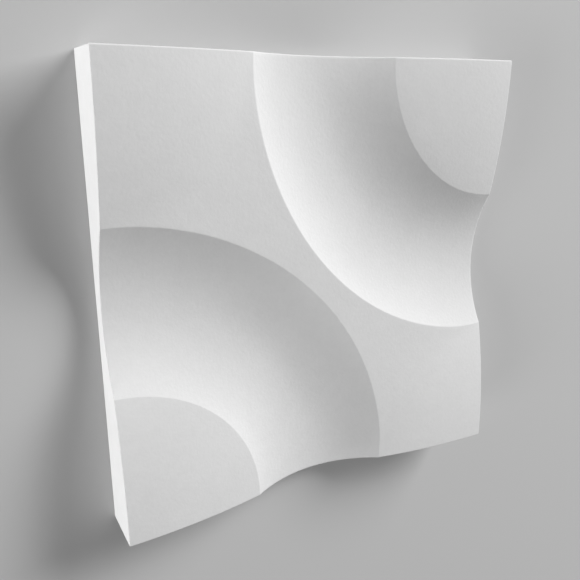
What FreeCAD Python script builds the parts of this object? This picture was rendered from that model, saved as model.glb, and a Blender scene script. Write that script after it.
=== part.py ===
import FreeCAD, Part
import math
import os
import Sketcher

# Square relief wall tile, cast in one piece, lying on its flat back with the relief up.
# Two channels bend round two opposite corners, from mid edge to mid edge, so that tiles
# laid any way round join up. Each corner is a shallow dome, and all four edges are alike.
# Origin: centre of the back. X and Y run along the tile edges, Z rises out of the face.

os.makedirs("parts", exist_ok=True)
doc = FreeCAD.newDocument("ReliefWallTile")

# Driving dimensions in millimetres; land_softness and land_stations are plain numbers
sheet = doc.addObject("Spreadsheet::Sheet", "sizes")
driving_sizes = [
    ("tile_side", 300),
    ("floor_thickness", 12),
    ("channel_width", 105),
    ("channel_depth", 14.5),
    ("dome_rise", 10.5),
    ("crease_margin", 2),
    ("overcut", 5),
    ("land_softness", 0.65),
    ("land_stations", 41),
]
for row, (name, value) in enumerate(driving_sizes, start=1):
    sheet.set(f"A{row}", name)
    sheet.set(f"B{row}", str(value))
    sheet.setAlias(f"B{row}", name)
doc.recompute()

half_side = "sizes.tile_side / 2"
half_width = "sizes.channel_width / 2"
tile_height = "(sizes.floor_thickness + sizes.channel_depth + sizes.dome_rise)"
crease_height = "(sizes.floor_thickness + sizes.channel_depth)"
dome_rim = f"({half_side} - {half_width})"
channel_rim = f"({half_side} + {half_width})"
channel_arc = f"(({half_width}) ^ 2 + sizes.channel_depth ^ 2) / (2 * sizes.channel_depth)"


def origin_feature(body, role):
    for feature in body.Origin.OriginFeatures:
        if feature.Role == role:
            return feature


def bind(sketch, constraint, name, expression):
    index = sketch.addConstraint(constraint)
    sketch.renameConstraint(index, name)
    sketch.setExpression(f"Constraints.{name}", expression)


# The blank: a square slab as thick as the tile is at its corners
body = doc.addObject("PartDesign::Body", "blank_with_channels")
outline = body.newObject("Sketcher::SketchObject", "tile_outline")
outline.AttachmentSupport = [(origin_feature(body, "XY_Plane"), "")]
outline.MapMode = "FlatFace"
half = sheet.tile_side / 2
corners = [(-half, -half), (half, -half), (half, half), (-half, half)]
for start, end in zip(corners, corners[1:] + corners[:1]):
    outline.addGeometry(Part.LineSegment(FreeCAD.Vector(*start, 0), FreeCAD.Vector(*end, 0)))
for side in range(4):
    outline.addConstraint(Sketcher.Constraint("Coincident", side, 2, (side + 1) % 4, 1))
for side in (0, 2):
    outline.addConstraint(Sketcher.Constraint("Horizontal", side))
    outline.addConstraint(Sketcher.Constraint("Vertical", side + 1))
outline.addConstraint(Sketcher.Constraint("Symmetric", 0, 1, 1, 2, -1, 1))
bind(outline, Sketcher.Constraint("DistanceX", 0, 1, 0, 2, 2 * half), "along", "sizes.tile_side")
bind(outline, Sketcher.Constraint("DistanceY", 1, 1, 1, 2, 2 * half), "across", "sizes.tile_side")
slab = body.newObject("PartDesign::Pad", "slab")
slab.Profile = outline
slab.setExpression("Length", tile_height)
doc.recompute()

# The channel round one corner, turned about the upright line through that corner.
# Its section is the corner dome, the hollow of the channel and the open air above them.
turned = body.newObject("Sketcher::SketchObject", "channel_section")
turned.AttachmentSupport = [(origin_feature(body, "XZ_Plane"), "")]
turned.MapMode = "FlatFace"
turned.setExpression("AttachmentOffset.Base.x", half_side)
turned.setExpression("AttachmentOffset.Base.z", f"-{half_side}")

width = sheet.channel_width
depth = sheet.channel_depth
rise = sheet.dome_rise
top = sheet.floor_thickness + depth + rise
crease = top - rise
air = top + sheet.overcut
rim = half - width / 2
wall = half + width / 2 + sheet.crease_margin
dome_radius = (rim ** 2 + rise ** 2) / (2 * rise)
arc_radius = (width ** 2 / 4 + depth ** 2) / (2 * depth)
arc_centre = crease - depth + arc_radius
rim_angle = math.acos(rim / dome_radius)
inner_angle = 1.5 * math.pi - math.asin(width / 2 / arc_radius)
outer_angle = 1.5 * math.pi + math.asin((wall - half) / arc_radius)
wall_foot = arc_centre + arc_radius * math.sin(outer_angle)
upright = FreeCAD.Vector(0, 0, 1)
dome_circle = Part.Circle(FreeCAD.Vector(0, top - dome_radius, 0), upright, dome_radius)
channel_circle = Part.Circle(FreeCAD.Vector(half, arc_centre, 0), upright, arc_radius)
turned.addGeometry(Part.ArcOfCircle(dome_circle, rim_angle, math.pi / 2))
turned.addGeometry(Part.ArcOfCircle(channel_circle, inner_angle, outer_angle))
turned.addGeometry(Part.LineSegment(FreeCAD.Vector(wall, wall_foot, 0), FreeCAD.Vector(wall, air, 0)))
turned.addGeometry(Part.LineSegment(FreeCAD.Vector(wall, air, 0), FreeCAD.Vector(0, air, 0)))
turned.addGeometry(Part.LineSegment(FreeCAD.Vector(0, air, 0), FreeCAD.Vector(0, top, 0)))
dome, hollow, outer_wall, lid, axis = range(5)
turned.addConstraint(Sketcher.Constraint("Coincident", dome, 1, hollow, 1))
turned.addConstraint(Sketcher.Constraint("Coincident", hollow, 2, outer_wall, 1))
turned.addConstraint(Sketcher.Constraint("Coincident", outer_wall, 2, lid, 1))
turned.addConstraint(Sketcher.Constraint("Coincident", lid, 2, axis, 1))
turned.addConstraint(Sketcher.Constraint("Coincident", axis, 2, dome, 2))
turned.addConstraint(Sketcher.Constraint("PointOnObject", dome, 3, -2))
turned.addConstraint(Sketcher.Constraint("PointOnObject", axis, 1, -2))
turned.addConstraint(Sketcher.Constraint("PointOnObject", axis, 2, -2))
turned.addConstraint(Sketcher.Constraint("Vertical", outer_wall))
turned.addConstraint(Sketcher.Constraint("Horizontal", lid))
bind(turned, Sketcher.Constraint("DistanceY", -1, 1, axis, 2, top), "apex", tile_height)
bind(turned, Sketcher.Constraint("DistanceX", -1, 1, dome, 1, rim), "rim_reach", dome_rim)
bind(turned, Sketcher.Constraint("DistanceY", -1, 1, dome, 1, crease), "rim_height", crease_height)
bind(turned, Sketcher.Constraint("DistanceX", -1, 1, hollow, 3, half), "channel_middle", half_side)
bind(turned, Sketcher.Constraint("Radius", hollow, arc_radius), "channel_round", channel_arc)
bind(turned, Sketcher.Constraint("DistanceX", -1, 1, outer_wall, 1, wall), "wall_reach",
     f"{channel_rim} + sizes.crease_margin")
bind(turned, Sketcher.Constraint("DistanceY", -1, 1, lid, 2, air), "lid_height",
     f"{tile_height} + sizes.overcut")

channel = body.newObject("PartDesign::Groove", "corner_channel")
channel.Profile = turned
channel.ReferenceAxis = (turned, ["V_Axis"])
channel.Angle = 360
doc.recompute()
channels = body.newObject("PartDesign::PolarPattern", "both_channels")
channels.Originals = [channel]
channels.Axis = (origin_feature(body, "Z_Axis"), [""])
channels.Angle = 360
channels.Occurrences = 2
body.Tip = channels
doc.recompute()


# The land between the channels: flat across the middle, swelling to a dome at the two plain
# corners. The foot of each dome is softened inside the tile, and not at all on the tile edges.
def land_height(x, y):
    along = half - x if x > y else half + x
    across = half + y if x > y else half - y
    reach = along ** 2 + across ** 2
    plain = 1 - reach / rim ** 2
    soft = 2 * sheet.land_softness * along * across / (rim ** 2 + reach)
    return crease + rise * (plain + math.hypot(plain, soft)) / 2


land_reach = half + sheet.overcut
land_steps = int(sheet.land_stations) - 1
stations = [land_reach * (2 * step / land_steps - 1) for step in range(land_steps + 1)]
land_net = [[FreeCAD.Vector(x, y, land_height(x, y)) for y in stations] for x in stations]
land_surface = Part.BSplineSurface()
land_surface.interpolate(land_net)
above_land = doc.addObject("Part::Feature", "air_above_land")
above_land.Shape = land_surface.toShape().extrude(FreeCAD.Vector(0, 0, rise + sheet.overcut))
above_land.Placement = FreeCAD.Placement()

# The two turned corners are left as they are, out to just inside their outer creases
kept_corners = []
for name, sign in (("far_corner", "1"), ("near_corner", "-1")):
    corner = doc.addObject("Part::Cylinder", name)
    corner.setExpression("Radius", f"{channel_rim} - sizes.crease_margin")
    corner.setExpression("Height", f"{tile_height} + 3 * sizes.overcut")
    corner.setExpression("Placement.Base.x", f"{sign} * {half_side}")
    corner.setExpression("Placement.Base.y", f"{sign} * {half_side}")
    kept_corners.append(corner)
both_corners = doc.addObject("Part::Fuse", "kept_corners")
both_corners.Base, both_corners.Tool = kept_corners
land_cut = doc.addObject("Part::Cut", "land_cut")
land_cut.Base = above_land
land_cut.Tool = both_corners
doc.recompute()

tile = doc.addObject("Part::Cut", "panel_tile")
tile.Label = "panel_tile"
tile.Base = body
tile.Tool = land_cut
doc.recompute()

# Checks before anything is written
for item in doc.Objects:
    if {"Invalid", "Error"} & set(item.State):
        raise RuntimeError(f"{item.Name} failed: {item.State}")
if channels.Shape.Volume >= channel.Shape.Volume or channel.Shape.Volume >= slab.Shape.Volume:
    raise RuntimeError("a channel cut nothing")
if tile.Shape.isNull() or not tile.Shape.isValid() or len(tile.Shape.Solids) != 1:
    raise RuntimeError("the tile is not one sound solid")
if tile.Shape.Volume >= channels.Shape.Volume:
    raise RuntimeError("the land was not cut")

tile.Shape.exportStep(f"parts/{tile.Label}.step")
box = tile.Shape.optimalBoundingBox()
print(f"{tile.Label}: {box.XLength:.2f} x {box.YLength:.2f} x {box.ZLength:.2f} mm,"
      f" {tile.Shape.Volume / 1000:.1f} cm3, {len(tile.Shape.Faces)} faces")
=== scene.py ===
import math
import bmesh
import bpy
import numpy as np
from mathutils import Matrix, Vector


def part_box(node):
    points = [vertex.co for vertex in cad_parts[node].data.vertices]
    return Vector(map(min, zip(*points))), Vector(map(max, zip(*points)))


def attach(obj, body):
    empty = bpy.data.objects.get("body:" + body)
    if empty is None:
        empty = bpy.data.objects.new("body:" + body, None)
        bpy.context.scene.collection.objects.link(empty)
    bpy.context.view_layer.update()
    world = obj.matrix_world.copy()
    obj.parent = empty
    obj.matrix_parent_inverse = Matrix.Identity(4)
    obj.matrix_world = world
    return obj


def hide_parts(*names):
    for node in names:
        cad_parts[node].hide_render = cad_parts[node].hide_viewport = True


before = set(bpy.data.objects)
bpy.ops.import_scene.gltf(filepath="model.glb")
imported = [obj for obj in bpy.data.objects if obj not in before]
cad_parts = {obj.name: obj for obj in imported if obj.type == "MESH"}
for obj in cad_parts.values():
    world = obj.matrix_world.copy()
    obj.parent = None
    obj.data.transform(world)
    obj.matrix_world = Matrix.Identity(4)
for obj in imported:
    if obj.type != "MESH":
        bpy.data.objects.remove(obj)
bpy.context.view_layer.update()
tileLow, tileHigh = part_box("panel_tile")
print("frame loaded, tile box", tuple(tileLow), tuple(tileHigh))

# everything is in metres, on the frame's own axes
relief = {
    "channelWidth": 0.105,
    "channelDepth": 0.0145,
    "domeRise": 0.0105,
    "landSoftness": 0.65,   # how softly the plain corners run out into the land
    "arrisBlunt": 0.00006,  # how much the casting rounds off its creases
}
halfSide = (tileHigh.x - tileLow.x) / 2
topHeight = tileHigh.z - tileLow.z
halfWidth = relief["channelWidth"] / 2
creaseHeight = topHeight - relief["domeRise"]
innerCrease = halfSide - halfWidth
outerCrease = halfSide + halfWidth
domeBall = (innerCrease ** 2 + relief["domeRise"] ** 2) / (2 * relief["domeRise"])
hollowRound = (halfWidth ** 2 + relief["channelDepth"] ** 2) / (2 * relief["channelDepth"])
hollowCentre = creaseHeight - relief["channelDepth"] + hollowRound


def bluntLower(a, b):  # the lower of two surfaces, with the arris between them eased
    return (a + b - np.sqrt((a - b) ** 2 + relief["arrisBlunt"] ** 2)) / 2


def landHeight(x, y):  # flat across the neck, swelling to a dome at the two plain corners
    along = np.where(x > y, halfSide - x, halfSide + x)
    across = np.where(x > y, halfSide + y, halfSide - y)
    reach = along ** 2 + across ** 2
    plain = 1 - reach / innerCrease ** 2
    soft = 2 * relief["landSoftness"] * along * across / (innerCrease ** 2 + reach)
    return creaseHeight + relief["domeRise"] * (plain + np.hypot(plain, soft)) / 2


def faceHeight(x, y):
    farReach = np.hypot(halfSide - x, halfSide - y)
    nearReach = np.hypot(halfSide + x, halfSide + y)
    radius = np.minimum(farReach, nearReach)  # from the corner that the channel bends round
    dome = topHeight - domeBall + np.sqrt(domeBall ** 2 - np.minimum(radius, halfSide) ** 2)
    fromMiddle = np.clip(radius - halfSide, -hollowRound, hollowRound)
    hollow = hollowCentre - np.sqrt(hollowRound ** 2 - fromMiddle ** 2)
    innerSlope = radius < (innerCrease + halfSide) / 2
    return np.where(innerSlope, bluntLower(dome, hollow), bluntLower(hollow, landHeight(x, y)))


# the casting, laid out in plan so that rows of points follow every crease and edge
casting = {
    "edgeRound": 0.0008,      # eased outer edge
    "roundSteps": 5,
    "turns": 160,             # points along each curved crease
    "domeRows": 34,
    "hollowRows": 44,
    "landColumns": 30,
    "cornerRows": 34,
    "creaseRows": (0.00012, 0.0003, 0.0006, 0.001, 0.0017),  # extra rows beside a crease
    "creaseClear": 0.0026,    # where the ordinary rows begin again
    "narrowLand": 0.017,      # land narrower than this has its crease rows drawn together
    "wallRows": (0.02, 0.1, 0.35, 0.65, 0.9, 0.98),  # shares of the wall, from the top down
    "weld": 0.000002,         # points nearer than this are one
    "sameSpot": 0.0000001,
}
inset = halfSide - casting["edgeRound"]
creaseRows = np.array(casting["creaseRows"])


def radiusRows(start, end, count, easeStart, easeEnd):  # rows that crowd together beside a crease
    rows = np.linspace(start, end, count)
    clear = casting["creaseClear"]
    if easeStart:
        rows = np.concatenate([[start], start + creaseRows, rows[rows > start + clear]])
    if easeEnd:
        rows = np.concatenate([rows[rows < end - clear], end - creaseRows[::-1], [end]])
    return rows


def turnAngles(radius):  # angles that keep a circle about a corner inside the eased edges
    edgeAngle = np.arcsin(np.minimum(casting["edgeRound"] / radius, math.sqrt(0.5)))[:, None]
    share = np.linspace(0, 1, casting["turns"] + 1)[None, :]
    return edgeAngle + (math.pi / 2 - 2 * edgeAngle) * share


def turnedPlan(sign, radius):  # rings of points about the far corner, or with -1 about the near one
    angles = turnAngles(radius)
    x = sign * (halfSide - radius[:, None] * np.cos(angles))
    y = sign * (halfSide - radius[:, None] * np.sin(angles))
    return np.stack([x, y], axis=-1)


def landPlan():  # rows of points over the land, from one channel's crease to the other's
    farArc = turnedPlan(1, np.array([outerCrease]))[0]
    nearArc = -farArc[:, ::-1]  # the same arc seen across the plain diagonal
    leftCorner = np.array([-inset, inset])
    rightCorner = -leftCorner
    steps = np.linspace(0, 1, casting["cornerRows"] + 1)[:-1, None]

    def crossing(arc):  # from plain corner to plain corner, by way of one crease
        wayIn = leftCorner + (arc[0] - leftCorner) * steps
        wayOut = rightCorner + (arc[-1] - rightCorner) * steps
        return np.concatenate([wayIn, arc, wayOut[::-1]])

    fromSide = crossing(farArc)
    toSide = crossing(nearArc)
    length = np.linalg.norm(toSide - fromSide, axis=1)[:, None]
    drawn = np.minimum(1, length / casting["narrowLand"]) / np.maximum(length, casting["sameSpot"])
    beside = creaseRows[None, :] * drawn
    edge = casting["creaseClear"] * drawn
    middle = np.linspace(0, 1, casting["landColumns"] + 1)[None, 1:-1]
    share = [np.zeros_like(length), beside, edge + (1 - 2 * edge) * middle]
    share += [1 - beside[:, ::-1], np.ones_like(length)]
    share = np.concatenate(share, axis=1)[:, :, None]
    return fromSide[:, None, :] + (toSide - fromSide)[:, None, :] * share


def gridFaces(rows, columns, offset, closed=False):
    faces = []
    for row in range(rows - 1):
        for column in range(columns if closed else columns - 1):
            a = offset + row * columns + column
            b = offset + row * columns + (column + 1) % columns
            faces.append((a, b, b + columns, a + columns))
    return faces


def edgeLoop(plan):  # the face's rim, run round once, with the way out at each point
    places = []
    waysOut = []
    sameSpot = casting["sameSpot"]
    sides = ((1, -inset, 0, 1), (0, inset, 1, 1), (1, inset, 0, -1), (0, -inset, 1, -1))
    for fixedAxis, fixedValue, runAxis, direction in sides:
        onSide = plan[np.abs(plan[:, fixedAxis] - fixedValue) < sameSpot]
        run = np.unique(np.round(onSide[:, runAxis] / sameSpot)) * sameSpot
        out = np.zeros(2)
        out[fixedAxis] = math.copysign(1, fixedValue)
        nextOut = np.array([-out[1], out[0]])
        for value in run[::direction]:
            point = np.zeros(2)
            point[fixedAxis] = fixedValue
            point[runAxis] = value
            places.append(point)
            waysOut.append(out)
        for step in range(1, casting["roundSteps"]):  # round the corner to the next side
            bend = step / casting["roundSteps"] * math.pi / 2
            places.append(point)
            waysOut.append(math.cos(bend) * out + math.sin(bend) * nextOut)
    return np.array(places), np.array(waysOut)


def edgeRings(rimHeight):  # how far out and how high the eased edge and the wall go, ring by ring
    rounding = casting["edgeRound"]
    bends = np.linspace(0, math.pi / 2, casting["roundSteps"] + 1)
    rings = []
    for bend in bends:
        rings.append((rounding * math.sin(bend), rimHeight - rounding * (1 - math.cos(bend))))
    for share in casting["wallRows"]:
        rings.append((rounding, (rimHeight - rounding) * (1 - share) + rounding * share))
    for bend in bends:
        foot = np.full_like(rimHeight, rounding * (1 - math.sin(bend)))
        rings.append((rounding * math.cos(bend), foot))
    return rings


def castingGrid():  # points and faces of the relief, the eased edges and the walls
    domeStart = casting["edgeRound"] * math.sqrt(2)
    domeRadii = radiusRows(domeStart, innerCrease, casting["domeRows"], False, True)
    hollowRadii = radiusRows(innerCrease, outerCrease, casting["hollowRows"], True, True)
    plans = [turnedPlan(sign, radii) for sign in (1, -1) for radii in (domeRadii, hollowRadii)]
    plans.append(landPlan())
    points = []
    faces = []
    for plan in plans:
        faces += gridFaces(plan.shape[0], plan.shape[1], sum(len(p) for p in points))
        flat = plan.reshape(-1, 2)
        points.append(np.column_stack([flat, faceHeight(flat[:, 0], flat[:, 1])]))
    rim, out = edgeLoop(np.concatenate([p[:, :2] for p in points]))
    rings = edgeRings(faceHeight(rim[:, 0], rim[:, 1]))
    faces += gridFaces(len(rings), len(rim), sum(len(p) for p in points), closed=True)
    for reach, height in rings:
        points.append(np.column_stack([rim + reach * out, height]))
    return np.concatenate(points).tolist(), faces


def makeCasting():
    points, faces = castingGrid()
    mesh = bpy.data.meshes.new("plasterTile")
    mesh.from_pydata(points, [], faces)
    shape = bmesh.new()
    shape.from_mesh(mesh)
    bmesh.ops.remove_doubles(shape, verts=shape.verts, dist=casting["weld"])
    bmesh.ops.dissolve_degenerate(shape, edges=shape.edges, dist=casting["sameSpot"])
    openEdges = [edge for edge in shape.edges if edge.is_boundary]
    back = bmesh.ops.contextual_create(shape, geom=openEdges)["faces"]
    bmesh.ops.recalc_face_normals(shape, faces=shape.faces)
    for face in shape.faces:
        face.smooth = face not in back
    shape.to_mesh(mesh)
    shape.free()
    tile = bpy.data.objects.new("plasterTile", mesh)
    bpy.context.scene.collection.objects.link(tile)
    print("casting made,", len(mesh.vertices), "points,", len(openEdges), "edges round the back")
    return tile


# white cast plaster: an even matte face off the mould and a back struck off with a straightedge
plaster = {
    "pale": (0.742, 0.742, 0.742, 1),
    "dull": (0.688, 0.688, 0.688, 1),
    "roughness": (0.68, 0.82),
    "sheen": 0.3,             # specular level
    "clouds": (16, 3),        # noises are scale per metre and detail
    "mottle": (150, 4),
    "grain": (420, 6),
    "ripple": (38, 1),        # slow unevenness left by the mould
    "cloudShare": 0.45,       # what each gives to the colour
    "mottleShare": 0.35,
    "grainShare": 0.2,
    "noiseSpan": (0.3, 0.7),  # the stretch of the noise that is drawn out to the full range
    "grainDepth": 0.00012,
    "rippleDepth": 0.00016,
    "backLevel": (0.0003, 0.0006),  # heights between which the struck back gives way to the wall
    "pinholeScale": 95,
    "pinholeSize": (0.0275, 0.055),  # bottom and rim, as shares of the spacing
    "pinholeShare": 0.1,      # share of the places that hold one
    "pinholeDepth": 0.0004,
    # painted shade: how far the colour is darkened inside each pinhole
    "pinholeShade": 0.9,
    "strikes": (1, 5),        # drag marks, drawn out along the tile
    "strikeStretch": (6, 260, 1),
    "strikeDepth": 0.0006,
    "strikeDulling": 0.5,
}


def makePlaster():
    material = bpy.data.materials.new("castPlaster")
    material.use_nodes = True
    nodes = material.node_tree.nodes
    links = material.node_tree.links
    shader = nodes["Principled BSDF"]
    shader.inputs["Specular IOR Level"].default_value = plaster["sheen"]
    place = nodes.new("ShaderNodeTexCoord").outputs["Object"]

    def noise(name, source=place):
        node = nodes.new("ShaderNodeTexNoise")
        node.inputs["Scale"].default_value, node.inputs["Detail"].default_value = plaster[name]
        links.new(source, node.inputs["Vector"])
        return node.outputs["Fac"]

    def sums(operation, first, second):
        node = nodes.new("ShaderNodeMath")
        node.operation = operation
        for socket, value in zip(node.inputs, (first, second)):
            if isinstance(value, (int, float)):
                socket.default_value = value
            else:
                links.new(value, socket)
        return node.outputs[0]

    def spread(value, span, lowOut, highOut):
        node = nodes.new("ShaderNodeMapRange")
        node.inputs["From Min"].default_value, node.inputs["From Max"].default_value = span
        node.inputs["To Min"].default_value = lowOut
        node.inputs["To Max"].default_value = highOut
        links.new(value, node.inputs["Value"])
        return node.outputs["Result"]

    def bump(height, depth, under=None):
        node = nodes.new("ShaderNodeBump")
        node.inputs["Distance"].default_value = depth
        links.new(height, node.inputs["Height"])
        if under:
            links.new(under, node.inputs["Normal"])
        return node.outputs["Normal"]

    clouds = noise("clouds")
    mottle = noise("mottle")
    grain = noise("grain")

    # the struck back, told from the rest by its height, has drag marks and open pinholes
    parts = nodes.new("ShaderNodeSeparateXYZ")
    links.new(place, parts.inputs["Vector"])
    onBack = spread(parts.outputs["Z"], plaster["backLevel"], 1, 0)
    cells = nodes.new("ShaderNodeTexVoronoi")
    cells.inputs["Scale"].default_value = plaster["pinholeScale"]
    links.new(place, cells.inputs["Vector"])
    cellTone = nodes.new("ShaderNodeSeparateColor")
    links.new(cells.outputs["Color"], cellTone.inputs["Color"])
    chosen = sums("LESS_THAN", cellTone.outputs["Red"], plaster["pinholeShare"])
    dot = spread(cells.outputs["Distance"], plaster["pinholeSize"], 1, 0)
    pinholes = sums("MULTIPLY", sums("MULTIPLY", dot, chosen), onBack)
    stretch = nodes.new("ShaderNodeMapping")
    stretch.inputs["Scale"].default_value = plaster["strikeStretch"]
    links.new(place, stretch.inputs["Vector"])
    strikes = sums("MULTIPLY", noise("strikes", stretch.outputs["Vector"]), onBack)

    tone = sums("MULTIPLY", clouds, plaster["cloudShare"])
    tone = sums("ADD", tone, sums("MULTIPLY", mottle, plaster["mottleShare"]))
    tone = sums("ADD", tone, sums("MULTIPLY", grain, plaster["grainShare"]))
    tone = spread(tone, plaster["noiseSpan"], 0, 1)
    # painted shade: the colour in the pinhole hollows is drawn towards the dull tone
    tone = sums("SUBTRACT", tone, sums("MULTIPLY", pinholes, plaster["pinholeShade"]))
    tone = sums("SUBTRACT", tone, sums("MULTIPLY", strikes, plaster["strikeDulling"]))
    colour = nodes.new("ShaderNodeMix")
    colour.data_type = "RGBA"
    colour.inputs["A"].default_value = plaster["dull"]
    colour.inputs["B"].default_value = plaster["pale"]
    links.new(tone, colour.inputs["Factor"])
    links.new(colour.outputs["Result"], shader.inputs["Base Color"])
    matte = spread(mottle, plaster["noiseSpan"], *plaster["roughness"])
    links.new(matte, shader.inputs["Roughness"])

    surface = bump(noise("ripple"), plaster["rippleDepth"])
    surface = bump(grain, plaster["grainDepth"], surface)
    surface = bump(sums("SUBTRACT", 1, pinholes), plaster["pinholeDepth"], surface)
    surface = bump(strikes, plaster["strikeDepth"], surface)
    links.new(surface, shader.inputs["Normal"])
    return material


castTile = makeCasting()
castTile.data.materials.append(makePlaster())
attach(castTile, "root")
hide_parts("panel_tile")
print("plaster on")

# plain pale floor, which fades into an even backdrop away from the tile
studio = {
    "floorReach": 4,
    "floorSides": 96,
    "floorGap": 0.0001,      # kept under the tile's back
    "floorColour": (0.55, 0.55, 0.55, 1),
    "floorRoughness": 0.9,
    "floorSheen": 0,
    "fadeFrom": 0.5,         # metres from the tile's middle
    "fadeTo": 1.2,
    "backdrop": 0.55,        # how bright the backdrop looks, where 1 is white
    "skyLight": 0.233,
    "skyColour": (1, 1, 1, 1),
}


# 1 for what the camera sees itself or in gloss and glass, 0 for bounced light
def seenDirectly(nodes, links):
    path = nodes.new("ShaderNodeLightPath")
    total = path.outputs["Is Camera Ray"]
    for kind in ("Is Glossy Ray", "Is Transmission Ray"):
        add = nodes.new("ShaderNodeMath")
        add.operation = "ADD"
        add.use_clamp = True
        links.new(total, add.inputs[0])
        links.new(path.outputs[kind], add.inputs[1])
        total = add.outputs[0]
    return total


def blendShaders(nodes, links, share, near, far):
    blend = nodes.new("ShaderNodeMixShader")
    for socket, source in zip(blend.inputs, (share, near.outputs[0], far.outputs[0])):
        links.new(source, socket)
    return blend.outputs[0]


def makeFloorPaint():
    paint = bpy.data.materials.new("floorPaint")
    paint.use_nodes = True
    nodes = paint.node_tree.nodes
    links = paint.node_tree.links
    shader = nodes["Principled BSDF"]
    shader.inputs["Base Color"].default_value = studio["floorColour"]
    shader.inputs["Roughness"].default_value = studio["floorRoughness"]
    shader.inputs["Specular IOR Level"].default_value = studio["floorSheen"]
    glow = nodes.new("ShaderNodeEmission")
    glow.inputs["Strength"].default_value = studio["backdrop"]
    reach = nodes.new("ShaderNodeVectorMath")
    reach.operation = "LENGTH"
    links.new(nodes.new("ShaderNodeTexCoord").outputs["Object"], reach.inputs[0])
    fade = nodes.new("ShaderNodeMapRange")
    fade.interpolation_type = "SMOOTHSTEP"
    fade.inputs["From Min"].default_value = studio["fadeFrom"]
    fade.inputs["From Max"].default_value = studio["fadeTo"]
    links.new(reach.outputs["Value"], fade.inputs["Value"])
    share = nodes.new("ShaderNodeMath")
    share.operation = "MULTIPLY"
    links.new(fade.outputs["Result"], share.inputs[0])
    links.new(seenDirectly(nodes, links), share.inputs[1])
    surface = blendShaders(nodes, links, share.outputs[0], shader, glow)
    links.new(surface, nodes["Material Output"].inputs["Surface"])
    return paint


def makeFloor():
    floorLevel = tileLow.z - studio["floorGap"]
    bpy.ops.mesh.primitive_circle_add(vertices=studio["floorSides"], radius=studio["floorReach"],
                                      fill_type="NGON", location=(0, 0, floorLevel))
    floor = bpy.context.object
    floor.name = "paleFloor"
    floor.data.materials.append(makeFloorPaint())


def makeSky():
    world = bpy.data.worlds.new("studioSky")
    bpy.context.scene.world = world
    world.use_nodes = True
    nodes = world.node_tree.nodes
    links = world.node_tree.links
    light = nodes["Background"]
    backdrop = nodes.new("ShaderNodeBackground")
    for node, strength in ((light, studio["skyLight"]), (backdrop, studio["backdrop"])):
        node.inputs["Color"].default_value = studio["skyColour"]
        node.inputs["Strength"].default_value = strength
    surface = blendShaders(nodes, links, seenDirectly(nodes, links), light, backdrop)
    links.new(surface, nodes["World Output"].inputs["Surface"])


makeFloor()
makeSky()
print("floor and sky made")

# turn from +X and lift above the floor in degrees, then metres and watts
# the strips are no taller than the tile, so most of their light falls on its walls
softboxes = {
    "rightSoftbox": {"turn": 36, "lift": 26, "distance": 4.0, "size": (2.6, 1.6), "power": 201},
    "leftSoftbox": {"turn": 195, "lift": 18, "distance": 3.0, "size": (1.6, 1.0), "power": 28},
    "leftStrip": {"turn": 165, "lift": 0.36, "distance": 3.0, "size": (3.6, 0.03), "power": 66},
    "frontStrip": {"turn": 270, "lift": 0.36, "distance": 3.0, "size": (1.6, 0.03), "power": 14},
}


def addLamp(name, turn, lift, distance, size, power):
    lamp = bpy.data.lights.new(name, "AREA")
    lamp.shape = "RECTANGLE"
    lamp.size, lamp.size_y = size
    lamp.energy = power
    holder = bpy.data.objects.new(name, lamp)
    bpy.context.scene.collection.objects.link(holder)
    turn = math.radians(turn)
    lift = math.radians(lift)
    level = math.cos(lift)
    away = Vector((level * math.cos(turn), level * math.sin(turn), math.sin(lift)))
    holder.location = away * distance
    holder.rotation_euler = away.to_track_quat("Z", "Y").to_euler()


for lampName, setting in softboxes.items():
    addLamp(lampName, **setting)
print("studio lit")

# the camera looks down on the tile at the photograph's angle
shot = {
    "fromCentre": Vector((-0.22949, 0.12063, 0.35289)),  # from the middle of the tile's top plane
    "right": Vector((0.87437, -0.00065, 0.48526)),
    "up": Vector((0.13574, 0.96041, -0.24329)),
    "lens": 40.0,      # millimetres, as is the sensor
    "sensor": 36,
    "nearest": 0.01,
}


def makeCamera():
    lensBody = bpy.data.cameras.new("shotCamera")
    lensBody.lens = shot["lens"]
    lensBody.sensor_width = shot["sensor"]
    lensBody.clip_start = shot["nearest"]
    camera = bpy.data.objects.new("shotCamera", lensBody)
    bpy.context.scene.collection.objects.link(camera)
    backwards = shot["right"].cross(shot["up"]).normalized()
    turned = Matrix((shot["right"], shot["up"], backwards)).transposed().to_4x4()
    stand = Vector((0, 0, tileHigh.z)) + shot["fromCentre"]
    camera.matrix_world = Matrix.Translation(stand) @ turned
    bpy.context.scene.camera = camera


makeCamera()
bpy.context.scene.view_settings.view_transform = "Standard"
print("camera set")
